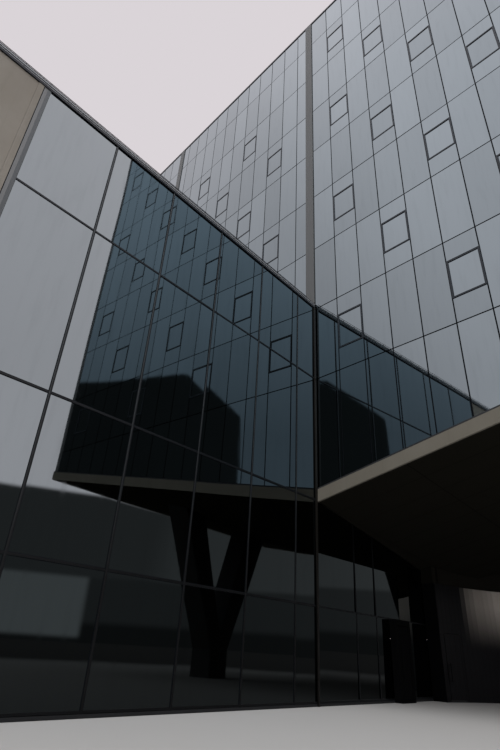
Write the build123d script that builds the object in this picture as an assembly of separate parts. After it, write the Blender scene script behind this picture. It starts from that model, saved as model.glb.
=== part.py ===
"""A modern glass building: a glazed tower slab that crosses a lower glazed wing.

The tower reaches out over a forecourt at both ends and stands there on V-shaped
columns, under a folded soffit with a pale fascia.  The model is at 1:2, in model
millimetres.  The origin is on the ground, where the wing's south front meets the
tower's west front.  +X points from the tower's west
front to its east front, +Y runs along the tower to the north, and +Z is up.
"""
import os
from math import asin, cos, degrees, radians, sin, sqrt, tan

from build123d import *

os.makedirs("parts", exist_ok=True)

# The tower's grid
module = 675.0
storey = 1990.0
overhang_count = 15
wing_count = 12
width_count = 18
tower_storeys = 8
first_line = 6305.0
parapet = 1440.0
sheet_thickness = 40.0
sheet_joint = 16.0
slab_thickness = 120.0
slab_clearance = 0.5

# The wing
skew = 4.44
wing_bay = 1300.0
glazed_bays = 5
corner_bay = 715.0
first_mullion = 1310.0
second_mullion = 2100.0
solid_west_length = 3900.0
edge_strip_width = 170.0
lower_transom = 1542.0
middle_transom = 3500.0
wall_thickness = 150.0
ground_slab = 40.0
base_rail_height = 60.0
mullion_width = 40.0
transom_height = 28.0
mullion_depth = 120.0
cap_depth = 10.0
cap_width = 30.0
coping_height = 150.0
coping_overhang = 25.0
coping_width = 260.0
roof_thickness = 160.0
rail_height = 90.0
rail_bar = 14.0
rail_pitch = 430.0
corner_post_width = 50.0
corner_post_depth = 25.0
corner_post_inset = 36.0

# The overhang: its fascia, soffit and columns
fascia_height = 250.0
fascia_thickness = 45.0
fascia_proud = 30.0
fascia_trim = 30.0
fascia_drop = 22.0
edge_low = 3485.0
edge_high = 5397.0
valley_low = 2640.0
soffit_thickness = 60.0
piece_joint = 2.0
seat_gap = 0.3
foot_half_width = 400.0
column_depth = 780.0
shoulder_height = 740.0
crotch_height = 1130.0
column_edge_radius = 25.0
west_column_x = 4114.0
west_column_y = -6180.0
west_outer_lean = 0.448
west_inner_lean = 0.349
east_column_x = 10000.0
east_column_y = -1800.0
east_column_turn = 68.0
east_outer_lean = 0.26
east_inner_lean = 0.25
north_column_shift = 900.0

# The metal-clad core wall and its door
core_radius = 6350.0
core_start_x = 4446.0
core_lead = 764.0
core_setback = 341.0
core_reach = 3726.0
core_wall_top = 2460.0
bulkhead_recess = 20.0
core_door_offset = 151.0
core_door_width = 556.0
core_door_height = 1380.0
door_thickness = 36.0
door_clearance = 8.0
pivot_radius = 5.0
door_sill = 46.0

# The entrance portal
portal_start = 2650.0
portal_width = 600.0
portal_front = 180.0
jamb_width = 60.0
portal_head = 110.0
door_recess = 30.0
handle_radius = 9.0
handle_length = 620.0
handle_reach = 45.0
handle_height = 420.0
handle_inset = 70.0
handle_overrun = 40.0
stud_inset = 60.0

# The grey fins and the parapet's coping on the tower
fin_width = 276.0
fin_proud = 25.0
tower_coping_height = 70.0
tower_coping_proud = 20.0
tower_coping_width = 200.0

# Worked out from the sizes above
overhang = overhang_count * module
wing_depth = wing_count * module
tower_width = width_count * module
south_end = -overhang
north_end = wing_depth + overhang
tower_mid_y = wing_depth / 2
half_width = tower_width / 2
roof_line = first_line + (tower_storeys - 1) * storey + parapet
wing_top = first_line + storey
slope = tan(radians(skew))
local_depth = wing_depth * cos(radians(skew))
glass_west = -corner_bay - glazed_bays * wing_bay
north_corner_u = wing_depth * sin(radians(skew))
wall_east = glass_west - edge_strip_width
wing_west = wall_east - solid_west_length
far_reach = 2.5 * tower_width
edge_rise = (edge_high - edge_low) / overhang
end_level = edge_high - edge_rise * (fascia_thickness - fascia_proud)
valley_rise = (edge_high - valley_low) / overhang
core_centre_x = core_start_x - core_lead
core_start_y = slope * core_start_x - core_setback
core_centre_y = core_start_y - sqrt(core_radius ** 2 - core_lead ** 2)
core_end_x = core_start_x + core_reach
core_sweep = degrees(asin((core_lead + core_reach) / core_radius))

written = {}


def save(name, shape):
    """Keep one node, as a compound where its pieces are separate solids."""
    solids = shape.solids() if hasattr(shape, "solids") else []
    whole = solids[0] if len(solids) == 1 else Compound(children=list(solids))
    written[name] = whole
    export_step(whole, f"parts/{name}.step")


def block(x0, x1, y0, y1, z0, z1):
    """An upright block between two corners."""
    size = Box(x1 - x0, y1 - y0, z1 - z0)
    return Pos((x0 + x1) / 2, (y0 + y1) / 2, (z0 + z1) / 2) * size


def turned(shape):
    """A piece of the wing, turned from the wing's own frame to the model's frame."""
    return shape.rotate(Axis.Z, skew)


def wing_block(u0, u1, v0, v1, z0, z1):
    """A block in the wing's frame: u runs along its south front, v goes in from it."""
    return turned(block(u0, u1, v0, v1, z0, z1))


def wing_line(x, depth=0.0):
    """Where a line parallel to the wing's south front stands at x, in y."""
    return slope * x + depth / cos(radians(skew))


def wing_u(x):
    """The distance along the wing's south front of the point at x on its face."""
    return x / cos(radians(skew))


def gather(pieces):
    """Several separate solids as one shape."""
    return Compound(children=[solid for piece in pieces for solid in piece.solids()])


def to_north(shape):
    """The north end repeats the south end, mirrored about the wing's middle."""
    return shape.mirror(Plane((0, tower_mid_y, 0), x_dir=(1, 0, 0), z_dir=(0, 1, 0)))


def edge_height(y):
    """Underside of the overhang along its two long edges."""
    return edge_low - edge_rise * y


def valley_height(y):
    """Underside of the overhang along its middle line."""
    return valley_low - valley_rise * y


def soffit_height(x, y):
    """Underside of the overhang, ruled between a long edge and the middle line."""
    share = 1 - abs(x - half_width) / half_width
    return edge_height(y) + (valley_height(y) - edge_height(y)) * share


def section(y, points):
    """A face across the tower at y, from points given as x and height."""
    return Plane.XZ.offset(-y) * make_face(Polyline(*points, close=True))


def side_sheet(x0, x1, points):
    """A sheet parallel to the tower's long fronts, from points given as y and height."""
    return extrude(Plane.YZ.offset(x0) * make_face(Polyline(*points, close=True)), x1 - x0)


def ruled(x0, x1, y0, y1, lift, thickness):
    """A plate whose underside follows the soffit from x0 to x1, lofted along the tower."""
    ends = []
    for y in (y0, y1):
        low = [(x0, soffit_height(x0, y) + lift), (x1, soffit_height(x1, y) + lift)]
        high = [(x, z + thickness) for x, z in reversed(low)]
        ends.append(section(y, low + high))
    return loft(ends, ruled=True)


wall_reach = wing_line(tower_width) + wall_thickness
ahead_of_wing = wing_block(-far_reach, far_reach, -far_reach, -cap_depth - seat_gap, -1, roof_line)


def room_below(lift):
    """The space under the south overhang, up to lift above the soffit's underside."""
    halves = []
    for x0, x1 in ((0, half_width), (half_width, tower_width)):
        ends = []
        for y in (south_end, wall_reach):
            foot = [(x0, 0), (x1, 0)]
            head = [(x, soffit_height(x, y) + lift) for x in (x1, x0)]
            ends.append(section(y, foot + head))
        halves.append(loft(ends, ruled=True))
    return halves[0] + halves[1]


under_soffit = room_below(-seat_gap)


def tower_long_sheets(x0, x1, through_wing):
    """One sheet of glass a storey on a long front, with sloping sheets over the fascia."""
    half = sheet_joint / 2
    pieces = []
    top_of_low = first_line - half
    rise = fascia_height - fascia_drop + fascia_trim + seat_gap
    wall_y = wing_line(x0)
    low = [
        (south_end, edge_height(south_end) + rise),
        (wall_y, edge_height(wall_y) + rise),
        (wall_y, top_of_low),
        (south_end, top_of_low),
    ]
    pieces.append(side_sheet(x0, x1, low))
    north_wall = wing_line(x0, local_depth)
    mirrored = 2 * tower_mid_y
    low_north = [
        (mirrored - south_end, edge_height(south_end) + rise),
        (north_wall, edge_height(mirrored - north_wall) + rise),
        (north_wall, top_of_low),
        (mirrored - south_end, top_of_low),
    ]
    pieces.append(side_sheet(x0, x1, low_north))
    for row in range(tower_storeys):
        z0 = first_line + row * storey + half
        z1 = first_line + (row + 1) * storey - half
        if row == tower_storeys - 1:
            z1 = roof_line - tower_coping_height - seat_gap
        if row == 0 and through_wing:
            pieces.append(block(x0, x1, south_end, 0, z0, z1))
            pieces.append(block(x0, x1, wing_depth, north_end, z0, z1))
        else:
            pieces.append(block(x0, x1, south_end, north_end, z0, z1))
    return pieces


def tower_end_sheets(y0, y1):
    """One sheet of glass a storey on a short front."""
    half = sheet_joint / 2
    x0 = sheet_thickness
    x1 = tower_width - sheet_thickness
    low = end_level + fascia_height - fascia_drop + fascia_trim + seat_gap
    pieces = [block(x0, x1, y0, y1, low, first_line - half)]
    for row in range(tower_storeys):
        z0 = first_line + row * storey + half
        z1 = first_line + (row + 1) * storey - half
        if row == tower_storeys - 1:
            z1 = roof_line - tower_coping_height - seat_gap
        pieces.append(block(x0, x1, y0, y1, z0, z1))
    return pieces


def make_tower():
    """The glazed slab: glass, floors, roof, fins and coping."""
    save("tower_west_glass", gather(tower_long_sheets(0, sheet_thickness, True)))
    east0 = tower_width - sheet_thickness
    east = tower_long_sheets(east0, tower_width, False)
    rows = ((ground_slab + seat_gap, lower_transom), (lower_transom, middle_transom),
            (middle_transom, first_line))
    y0 = wing_line(tower_width, sheet_thickness) + piece_joint
    y1 = wing_line(east0, local_depth - sheet_thickness) - piece_joint
    for z0, z1 in rows:
        east.append(block(east0, tower_width, y0, y1, z0, z1 - sheet_joint))
    save("tower_east_glass", gather(east))
    save("tower_south_glass", gather(tower_end_sheets(south_end, south_end + sheet_thickness)))
    save("tower_north_glass", gather(tower_end_sheets(north_end - sheet_thickness, north_end)))

    inset = sheet_thickness + slab_clearance
    floors = []
    for row in range(tower_storeys):
        top = first_line + row * storey
        floors.append(block(inset, tower_width - inset, south_end + inset, north_end - inset,
                            top - slab_thickness, top))
    save("tower_floors", gather(floors))
    roof_top = roof_line - parapet / 3
    save("tower_roof", block(inset, tower_width - inset, south_end + inset, north_end - inset,
                             roof_top - slab_thickness, roof_top))

    fins = []
    for x0, x1 in ((-fin_proud, -seat_gap), (tower_width + seat_gap, tower_width + fin_proud)):
        for y0, y1 in ((0, fin_width), (wing_depth - fin_width, wing_depth)):
            bottom = wing_top + coping_height + seat_gap if x0 < 0 else ground_slab
            shift = 0 if x0 < 0 else wing_line(tower_width)
            fins.append(block(x0, x1, y0 + shift, y1 + shift, bottom,
                              roof_line - tower_coping_height - seat_gap))
    save("tower_fins", gather(fins))

    outer = tower_coping_proud
    z0 = roof_line - tower_coping_height
    long_y0 = south_end - outer
    long_y1 = north_end + outer
    wide = tower_coping_width
    end_x0 = wide - outer + piece_joint
    end_x1 = tower_width + outer - wide - piece_joint
    save("tower_coping", gather([
        block(-outer, wide - outer, long_y0, long_y1, z0, roof_line),
        block(tower_width + outer - wide, tower_width + outer, long_y0, long_y1, z0, roof_line),
        block(end_x0, end_x1, long_y0, long_y0 + wide, z0, roof_line),
        block(end_x0, end_x1, long_y1 - wide, long_y1, z0, roof_line),
    ]))


def fascia_bar(x0, x1, lift, height, y1):
    """A sloping bar along a long edge of the south overhang, up to y1."""
    y0 = south_end - fascia_proud
    points = [
        (y0, edge_height(y0) + lift),
        (y1, edge_height(y1) + lift),
        (y1, edge_height(y1) + lift + height),
        (y0, edge_height(y0) + lift + height),
    ]
    return side_sheet(x0, x1, points)


def fascia_set(lift, height, ends):
    """Three bars round the south overhang, with open joints at its two corners."""
    inner = fascia_thickness - fascia_proud
    level = end_level + lift
    return [
        fascia_bar(-fascia_proud, inner, lift, height, ends[0]),
        fascia_bar(tower_width - inner, tower_width + fascia_proud, lift, height, ends[1]),
        block(inner + piece_joint, tower_width - inner - piece_joint,
              south_end - fascia_proud, south_end + inner, level, level + height),
    ]


def north_bars(lift, height):
    """The same bars for the north overhang, still to be cut at the wing's north front."""
    return fascia_set(lift, height, [wall_reach, wall_reach])


def make_overhang():
    """The fascia, its dark trim, the folded soffit and the columns, at both ends."""
    inner = fascia_thickness - fascia_proud
    cross_y1 = south_end + inner
    bars = {
        "fascia": (-fascia_drop, fascia_height),
        "fascia_trim": (fascia_height - fascia_drop, fascia_trim),
    }
    for name, (lift, height) in bars.items():
        ends = [wing_line(x) - cap_depth - seat_gap for x in (-fascia_proud, tower_width - inner)]
        pieces = fascia_set(lift, height, ends)
        save(f"south_{name}", gather(pieces))
        save(f"north_{name}", gather([north_fit(piece) for piece in north_bars(lift, height)]))

    y0 = cross_y1 + seat_gap
    halves = (
        (inner + seat_gap, half_width - piece_joint / 2),
        (half_width + piece_joint / 2, tower_width - inner - seat_gap),
    )
    plates = [ruled(x0, x1, y0, wall_reach, 0.0, soffit_thickness) for x0, x1 in halves]
    save("south_soffit", gather([plate & ahead_of_wing for plate in plates]))
    save("north_soffit", gather([north_fit(plate) for plate in plates]))

    west = place_column(west_column_x, west_column_y, 0.0, west_outer_lean, west_inner_lean)
    save("south_columns", gather([west, east_column(0.0)]))
    save("north_columns", to_north(gather([west, east_column(north_column_shift)])))


def north_fit(plate):
    """A piece of the south overhang repeated at the north, clear of the wing's front there."""
    behind = wing_block(-far_reach, far_reach, local_depth + cap_depth + seat_gap,
                        far_reach + local_depth, -1, roof_line)
    return to_north(plate) & behind


def column_outline(outer_lean, inner_lean):
    """Half of the V, as distance from its middle line and height."""
    top = edge_high
    return [
        (0, 0),
        (foot_half_width, 0),
        (foot_half_width, shoulder_height),
        (foot_half_width + outer_lean * (top - shoulder_height), top),
        (inner_lean * (top - crotch_height), top),
        (0, crotch_height),
    ]


def place_column(x, y, turn, outer_lean, inner_lean):
    """A V-shaped column with eased edges, cut to fit under the soffit."""
    half = column_outline(outer_lean, inner_lean)
    other = [(-a, z) for a, z in reversed(half[1:-1])]
    face = Plane.XZ * make_face(Polyline(*half, *other, close=True))
    body = extrude(face, column_depth / 2, both=True)
    long_edges = body.edges().filter_by(Axis.Y, reverse=True)
    body = chamfer([edge for edge in long_edges if edge.center().Z > 1], column_edge_radius)
    body = Pos(x, y, 0) * Rot(0, 0, turn) * body
    return body & under_soffit


def east_column(away):
    """The turned east column, moved away from the wing's front by a length."""
    return place_column(east_column_x, east_column_y - away, east_column_turn,
                        east_outer_lean, east_inner_lean)


def bar_grid(face, side, uprights, rails, foot, back_top, front_top):
    """Bars that hold the glass: mullions behind it, caps before it and rails through it.

    face is where the glass front stands in the wing's frame, and side is 1 on a front
    that looks south and -1 on one that looks north.  Each rail is its two ends and its
    height.
    """
    half = mullion_width / 2
    rail_half = transom_height / 2
    bars = []

    def bar(u0, u1, v0, v1, z0, z1):
        near, far = sorted((face + side * v0, face + side * v1))
        bars.append(block(u0, u1, near, far, z0, z1))

    for u in uprights:
        bar(u - half, u + half, sheet_thickness, mullion_depth, foot, back_top)
        bar(u - cap_width / 2, u + cap_width / 2, -cap_depth, 0, foot, front_top)
    for u0, u1, z in rails:
        bar(u0, u1, -cap_depth, mullion_depth, z - rail_half, z + rail_half)
    grid = bars[0]
    for extra in bars[1:]:
        grid = grid + extra
    return turned(grid)


def sheet_set(face, side, spans):
    """Sheets of glass on a front of the wing, each from its two ends and two heights."""
    near, far = sorted((face, face + side * sheet_thickness))
    return [wing_block(u0, u1, near, far, z0, z1) for u0, u1, z0, z1 in spans]


def make_wing_front(name, side):
    """A glazed long front of the wing: sheets between transoms, with the bars that hold them."""
    face = 0.0 if side > 0 else local_depth
    corner = 0.0 if side > 0 else north_corner_u
    end = corner - piece_joint
    half = mullion_width / 2
    rail_half = transom_height / 2
    levels = (base_rail_height, lower_transom, middle_transom, first_line, wing_top)
    spans = [(glass_west, end, z0 + rail_half, z1 - rail_half)
             for z0, z1 in zip(levels, levels[1:])]
    save(f"wing_{name}_glass", gather(sheet_set(face, side, spans)))
    places = [corner - corner_bay - bay * wing_bay for bay in range(glazed_bays)]
    rails = [(glass_west, end, z) for z in levels[:-1]]
    return bar_grid(face, side, places + [glass_west + half], rails, ground_slab,
                    wing_top - roof_thickness - seat_gap, wing_top)


def make_wing():
    """The lower wing: fronts, solid west part, floors, roof, coping and rail."""
    save("wing_south_frame", make_wing_front("south", 1))
    save("wing_north_frame", make_wing_front("north", -1))

    top = wing_top - seat_gap
    foot = ground_slab + seat_gap
    near = cap_depth + seat_gap
    post_end = corner_post_inset + corner_post_width
    save("corner_posts", gather([
        wing_block(-post_end, -corner_post_inset, -near - corner_post_depth, -near, 0, top),
        wing_block(north_corner_u - post_end, north_corner_u - corner_post_inset,
                   local_depth + near, local_depth + near + corner_post_depth, 0, top),
    ]))

    strip_end = glass_west - seat_gap
    save("wing_edge_strips", gather([
        wing_block(wall_east, strip_end, -cap_depth, wall_thickness, foot, top),
        wing_block(wall_east, strip_end, local_depth - wall_thickness,
                   local_depth + cap_depth, foot, top),
    ]))
    east = wall_east - seat_gap
    save("wing_south_wall", wing_block(wing_west, east, 0, wall_thickness, foot, top))
    save("wing_north_wall", wing_block(wing_west, east, local_depth - wall_thickness,
                                       local_depth, foot, top))
    save("wing_west_wall", wing_block(wing_west, wing_west + wall_thickness,
                                      wall_thickness + seat_gap,
                                      local_depth - wall_thickness - seat_gap, foot, top))

    inner_west = wing_west + wall_thickness + seat_gap
    wide = wing_block(inner_west, far_reach, wall_thickness + seat_gap,
                      local_depth - wall_thickness - seat_gap, 0, roof_line)
    west_half = block(-far_reach, -seat_gap, -far_reach, far_reach, 0, roof_line)
    both = block(-far_reach, tower_width - sheet_thickness - seat_gap,
                 -far_reach, far_reach, 0, roof_line)

    def deck(zone, z0, z1):
        return wide & zone & block(-far_reach, far_reach, -far_reach, far_reach, z0, z1)

    whole = wing_block(wing_west, far_reach, -cap_depth, local_depth + cap_depth, 0, ground_slab)
    save("ground_floor", whole & block(-far_reach, tower_width, -far_reach, far_reach,
                                       0, ground_slab))
    save("wing_first_floor", deck(both, middle_transom - slab_thickness, middle_transom))
    save("wing_second_floor", deck(west_half, first_line - slab_thickness, first_line))
    save("wing_roof", deck(west_half, wing_top - roof_thickness, wing_top))

    z1 = wing_top + coping_height
    step = coping_height / 3
    clear = fin_proud + piece_joint
    keep = block(-far_reach, -clear, -far_reach, far_reach, 0, roof_line)
    west_out = wing_west - coping_overhang
    copings = []
    for face, side in ((0.0, 1), (local_depth, -1)):
        layers = None
        for layer in range(3):
            out = coping_overhang - layer * 7.0
            near, far = sorted((face - side * out, face + side * coping_width))
            piece = block(west_out, wall_reach, near, far,
                          wing_top + layer * step, wing_top + (layer + 1) * step)
            layers = piece if layers is None else layers + piece
        copings.append(turned(layers) & keep)
    copings.append(wing_block(west_out, west_out + coping_width, coping_width + piece_joint,
                              local_depth - coping_width - piece_joint, wing_top, z1))
    save("wing_coping", gather(copings))

    rail_v = coping_width / 3
    count = int((-west_out - clear) // rail_pitch)
    rails = [block(-rail_pitch * count, -rail_pitch / 2, rail_v, rail_v + rail_bar,
                   z1 + rail_height - rail_bar, z1 + rail_height)]
    for post in range(count):
        u = -rail_pitch * (post + 0.75)
        rails.append(block(u, u + rail_bar, rail_v, rail_v + rail_bar, z1, z1 + rail_height))
    rail = rails[0]
    for bar in rails[1:]:
        rail = rail + bar
    save("wing_roof_rail", turned(rail))


def make_under_front():
    """The wing's south front where it stands under the tower, and its north repeat."""
    half = mullion_width / 2
    rail_half = transom_height / 2
    foot = base_rail_height
    low = (foot + rail_half, lower_transom - rail_half)
    high = (lower_transom + rail_half, first_line)
    u0 = seat_gap
    portal_end = portal_start + portal_width
    u_core = wing_u(core_start_x) - seat_gap
    u_far = wing_u(core_end_x + wall_thickness) + seat_gap
    u_east = wing_u(tower_width - sheet_thickness) - piece_joint
    spans = [
        (u0, portal_start - seat_gap, *low),
        (portal_end + seat_gap, u_core, *low),
        (u0, u_core, *high),
        (u_far, u_east, *low),
        (u_far, u_east, *high),
    ]
    sheets = [sheet & under_soffit for sheet in sheet_set(0.0, 1, spans)]
    save("forecourt_glass", gather(sheets))

    west_rails = [
        (u0, u_core, lower_transom),
        (u0, portal_start - seat_gap, foot),
        (portal_end + seat_gap, u_core, foot),
    ]
    west = bar_grid(0.0, 1, [first_mullion, second_mullion], west_rails, ground_slab,
                    first_line, first_line)
    east_places = [u_far + half + bay * wing_bay for bay in range(3)]
    east_rails = [(u_far, u_east, lower_transom), (u_far, u_east, foot)]
    east = bar_grid(0.0, 1, east_places, east_rails, ground_slab, first_line, first_line)
    save("forecourt_frame", gather([west & under_soffit, east & under_soffit]))

    north_top = to_north(room_below(-seat_gap))
    north_u0 = north_corner_u + u0
    north_u1 = north_corner_u + wing_u(tower_width - sheet_thickness) - piece_joint
    north_u1 = north_u1 - mullion_depth * slope
    north_spans = [(north_u0, north_u1, *low), (north_u0, north_u1, *high)]
    north = [sheet & north_top for sheet in sheet_set(local_depth, -1, north_spans)]
    save("north_forecourt_glass", gather(north))
    places = [north_u0 + first_mullion + bay * wing_bay for bay in range(9)]
    north_rails = [(north_u0, north_u1, lower_transom), (north_u0, north_u1, foot)]
    grid = bar_grid(local_depth, -1, places, north_rails, ground_slab, first_line, first_line)
    save("north_forecourt_frame", grid & north_top)


def sector(start, end, inner, outer, z0, z1):
    """A curved wall piece between two angles, counted from +Y towards +X."""
    def at(radius, angle):
        turn = radians(angle)
        return (core_centre_x + radius * sin(turn), core_centre_y + radius * cos(turn))

    middle = (start + end) / 2
    near = ThreePointArc(at(inner, start), at(inner, middle), at(inner, end))
    far = ThreePointArc(at(outer, end), at(outer, middle), at(outer, start))
    sides = [Line(at(inner, end), at(outer, end)), Line(at(outer, start), at(inner, start))]
    outline = Wire([near.edge(), sides[0].edge(), far.edge(), sides[1].edge()])
    return extrude(Plane.XY.offset(z0) * make_face(outline), z1 - z0)


def pivots(x, y, head):
    """The pins that a door turns on, from its sill and up to its head."""
    upright = (Align.CENTER, Align.CENTER, Align.MIN)
    foot = door_sill - ground_slab - seat_gap + pivot_radius
    low = Pos(x, y, ground_slab + seat_gap) * Cylinder(pivot_radius, foot, align=upright)
    top = door_clearance - seat_gap + pivot_radius
    high = Pos(x, y, head - seat_gap - top) * Cylinder(pivot_radius, top, align=upright)
    return low + high


def make_core():
    """The curved metal-clad wall under the soffit, its bulkhead, return and door."""
    inner = core_radius
    outer = core_radius + wall_thickness
    start = degrees(asin(core_lead / core_radius))
    door_start = start + degrees(core_door_offset / core_radius)
    door_end = door_start + degrees(core_door_width / core_radius)
    top = core_wall_top
    west = sector(start, door_start, inner, outer, 0, top)
    reveal_y = wing_line(core_start_x) - cap_depth - seat_gap
    west = west + block(core_start_x, core_start_x + wall_thickness,
                        core_start_y, reveal_y, 0, top)
    save("core_wall_west", west)
    save("core_wall_over_door", sector(door_start, door_end, inner, outer, core_door_height, top))
    third = (core_sweep - door_end) / 3
    for index, name in enumerate(("middle", "bend", "east")):
        a = door_end + index * third
        save(f"core_wall_{name}", sector(a, a + third, inner, outer, 0, top))
    end_y = core_centre_y + core_radius * cos(radians(core_sweep))
    ret = block(core_end_x + seat_gap, core_end_x + wall_thickness, end_y,
                wing_line(core_end_x) - cap_depth - seat_gap, 0, first_line)
    beyond = sector(start, core_sweep, inner / 2, outer + seat_gap, 0, first_line)
    save("core_return_wall", (ret - beyond) & under_soffit)

    steps = 4
    heads = []
    span = (core_sweep - start) / steps
    for index in range(steps):
        a = start + index * span
        heads.append(sector(a, a + span, inner + bulkhead_recess, outer, top + seat_gap,
                            first_line) & under_soffit)
    joined = block(core_start_x + bulkhead_recess, core_start_x + wall_thickness,
                   core_start_y + bulkhead_recess, reveal_y, top + seat_gap,
                   first_line) & under_soffit
    for head in heads:
        joined = joined + head
    save("core_bulkhead", joined)

    inside = block(core_start_x + wall_thickness + seat_gap, core_end_x - seat_gap,
                   end_y, wing_line(core_end_x), 0, ground_slab)
    drum = Pos(core_centre_x, core_centre_y, 0) * Cylinder(
        outer + seat_gap, ground_slab * 4, align=(Align.CENTER, Align.CENTER, Align.CENTER))
    slack = degrees(seat_gap / core_radius)
    sill = sector(door_start + slack, door_end - slack, inner, outer + piece_joint,
                  0, ground_slab)
    save("core_floor", ((inside - drum) + sill) & ahead_of_wing)

    margin = degrees(door_clearance / core_radius)
    leaf = sector(door_start + margin, door_end - margin, inner, inner + door_thickness,
                  door_sill, core_door_height - door_clearance)
    turn = radians(door_start + margin + degrees(handle_inset / core_radius))
    grip_r = inner - handle_reach
    lever = []
    for z in (handle_height, handle_height + handle_length / 2):
        foot = Pos(core_centre_x + (inner + 1) * sin(turn), core_centre_y + (inner + 1) * cos(turn),
                   z) * Rot(0, 0, -degrees(turn)) * Rot(90, 0, 0)
        lever.append(foot * Cylinder(handle_radius * 0.7, handle_reach + 1,
                                     align=(Align.CENTER, Align.CENTER, Align.MIN)))
    grip = Pos(core_centre_x + grip_r * sin(turn), core_centre_y + grip_r * cos(turn),
               handle_height - handle_overrun) * Cylinder(
                   handle_radius, handle_length / 2 + 2 * handle_overrun,
                   align=(Align.CENTER, Align.CENTER, Align.MIN))
    hinge = radians(door_end - margin)
    leaf = leaf + pivots(core_centre_x + inner * sin(hinge), core_centre_y + inner * cos(hinge),
                         core_door_height)
    save("core_door", leaf + lever[0] + lever[1] + grip)


def make_entrance():
    """The dark entrance portal in the glass front and its door."""
    u0 = portal_start
    u1 = portal_start + portal_width
    front = -portal_front
    back = -cap_depth - seat_gap
    top = lower_transom - transom_height / 2 - seat_gap
    head = top - portal_head
    save("entrance_jambs", gather([
        wing_block(u0, u0 + jamb_width, front, back, 0, head - seat_gap),
        wing_block(u1 - jamb_width, u1, front, back, 0, head - seat_gap),
    ]))
    save("entrance_lintel", wing_block(u0, u1, front, back, head, top))
    save("entrance_sill", wing_block(u0 + jamb_width + seat_gap, u1 - jamb_width - seat_gap,
                                     front, back, 0, ground_slab))
    left = u0 + jamb_width + door_clearance
    right = u1 - jamb_width - door_clearance
    outer_face = front + door_recess
    leaf = block(left, right, outer_face, outer_face + door_thickness,
                 door_sill, head - door_clearance)
    grip_u = left + handle_inset
    grip_v = outer_face - handle_reach
    grip = Pos(grip_u, grip_v, handle_height) * Cylinder(
        handle_radius, handle_length, align=(Align.CENTER, Align.CENTER, Align.MIN))
    door = leaf + grip
    for z in (handle_height + stud_inset, handle_height + handle_length - stud_inset):
        stud = Pos(grip_u, (grip_v + outer_face) / 2, z) * Rot(90, 0, 0) * Cylinder(
            handle_radius * 0.7, handle_reach + 1)
        door = door + stud
    door = door + pivots(right, outer_face, head)
    save("entrance_door", turned(door))


make_tower()
make_overhang()
make_wing()
make_under_front()
make_core()
make_entrance()
print(len(written), "nodes")
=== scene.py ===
"""The looks of a modern glass building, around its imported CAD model.

Everything is in metres in the model's own frame: the origin is on the ground where the
wing's south front meets the tower's west front, +X goes to the tower's east front, +Y
runs north along the tower and +Z is up.  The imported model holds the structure; this
file adds the panes, joints, opening windows, cladding sheets and trims, and the finish
of every surface.
"""

import logging
import math
import random
from dataclasses import dataclass
from enum import Enum
from typing import Any, Callable, Iterable, Optional, Sequence, Union

import bmesh
import bpy
from mathutils import Matrix, Vector


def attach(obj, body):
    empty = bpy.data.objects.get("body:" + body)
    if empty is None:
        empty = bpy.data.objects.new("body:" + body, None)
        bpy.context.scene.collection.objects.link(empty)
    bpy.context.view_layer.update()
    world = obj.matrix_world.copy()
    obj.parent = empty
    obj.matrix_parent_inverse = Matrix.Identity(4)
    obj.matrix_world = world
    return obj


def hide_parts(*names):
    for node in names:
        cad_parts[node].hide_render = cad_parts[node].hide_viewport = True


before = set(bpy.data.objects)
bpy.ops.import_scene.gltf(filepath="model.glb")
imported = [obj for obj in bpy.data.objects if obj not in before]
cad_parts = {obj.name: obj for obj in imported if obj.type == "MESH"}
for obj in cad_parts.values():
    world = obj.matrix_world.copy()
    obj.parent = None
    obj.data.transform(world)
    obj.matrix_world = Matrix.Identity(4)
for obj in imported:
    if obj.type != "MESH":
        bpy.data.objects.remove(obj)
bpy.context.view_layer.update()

log = logging.getLogger("glass_building")
logging.basicConfig(level=logging.INFO, format="%(message)s")

Colour = tuple[float, float, float]
Look = tuple["Signal", "Signal", "Signal"]
UP = Vector((0.0, 0.0, 1.0))
SKEW = math.radians(4.44)
WING_ALONG = (math.cos(SKEW), math.sin(SKEW))
BUILDING = "building"


def srgb(red: int, green: int, blue: int) -> Colour:
    """A colour as linear light.

    Args:
        red: its red as it is seen, from 0 to 255.
        green: its green.
        blue: its blue.

    Returns:
        The colour.
    """
    def linear(value: int) -> float:
        """One part of the colour."""
        share = value / 255
        return share / 12.92 if share <= 0.04045 else ((share + 0.055) / 1.055) ** 2.4
    return linear(red), linear(green), linear(blue)


def math_node(operation: str, swapped: bool = False) -> Callable[..., "Signal"]:
    """A signal's method that makes one math node.

    Args:
        operation: what the node does.
        swapped: whether the signal comes last, as in a reflected operator.

    Returns:
        The method.
    """
    def made(*values: "Number") -> "Signal":
        """Make the node from the signal and what follows it."""
        inputs = dict(enumerate(values[::-1] if swapped else values))
        return values[0].bench.add("ShaderNodeMath", {"operation": operation}, inputs)
    return made


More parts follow.
